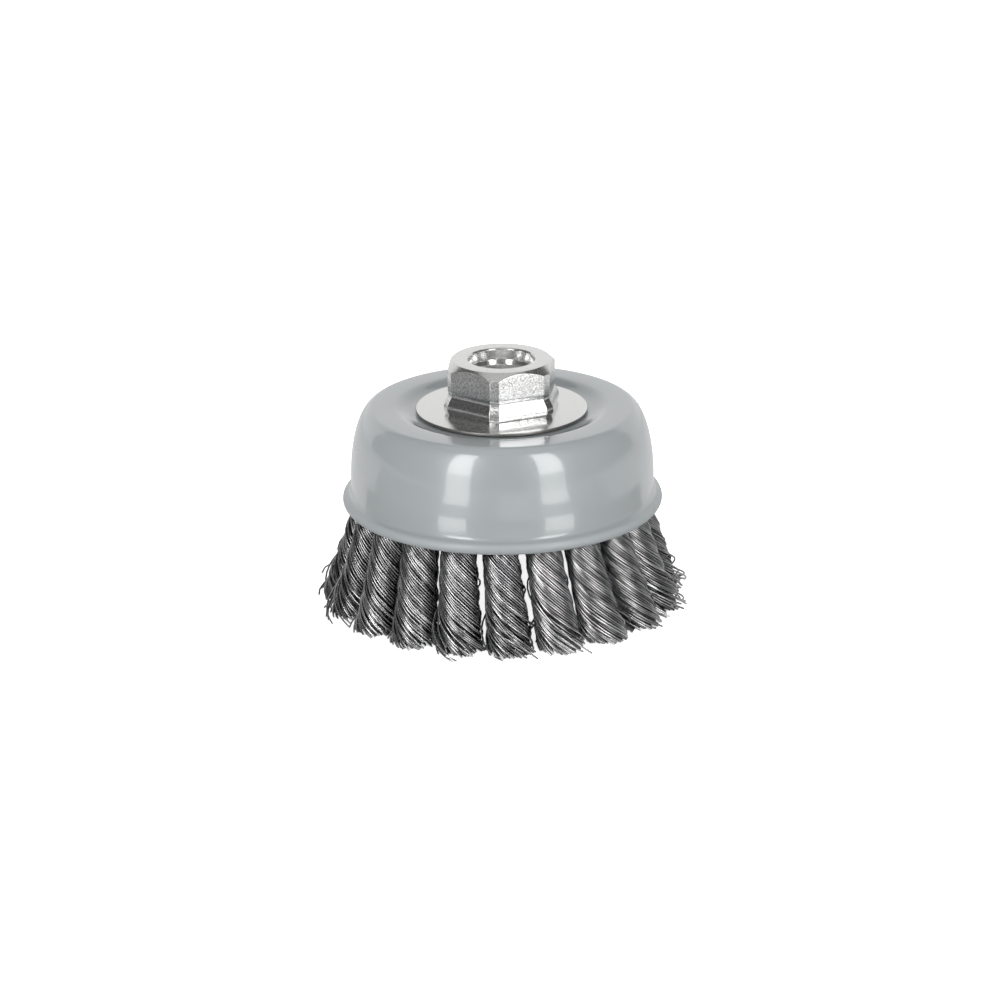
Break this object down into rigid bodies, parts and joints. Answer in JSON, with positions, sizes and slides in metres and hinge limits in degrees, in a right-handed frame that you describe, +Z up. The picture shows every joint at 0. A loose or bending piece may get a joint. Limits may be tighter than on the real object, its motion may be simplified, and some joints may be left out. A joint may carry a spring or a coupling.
{
  "type": "wire cup brush",
  "caption": "Wire cup brush for an angle grinder: a pressed cup with a hexagon arbor nut carries a ring of flared, twisted steel wire knots that clean and strip metal.",
  "frame": {"origin": "centre of the circle of wire tips, on the surface that the brush stands on", "axes": "+Z up along the spindle axis, from the wire tips towards the nut; -Y towards the picture's camera"},
  "size_m": [0.0968, 0.0968, 0.0661],
  "materials": {
    "grey_paint": "gloss light grey paint",
    "plated_steel": "bright zinc plating over forged and turned steel",
    "plate_steel": "plain pressed steel",
    "wire_steel": "dark drawn carbon steel wire"
  },
  "bodies": {
    "root": {"cup_shell": "grey_paint", "flange_washer": "plated_steel", "arbor_nut": "plated_steel", "knot_plate": "plate_steel", "knot_01": "wire_steel", "knot_02": "wire_steel", "knot_03": "wire_steel", "knot_04": "wire_steel", "knot_05": "wire_steel", "knot_06": "wire_steel", "knot_07": "wire_steel", "knot_08": "wire_steel", "knot_09": "wire_steel", "knot_10": "wire_steel", "knot_11": "wire_steel", "knot_12": "wire_steel", "knot_13": "wire_steel", "knot_14": "wire_steel", "knot_15": "wire_steel", "knot_16": "wire_steel", "knot_17": "wire_steel", "knot_18": "wire_steel", "knot_19": "wire_steel", "knot_20": "wire_steel"}
  },
  "joints": []
}
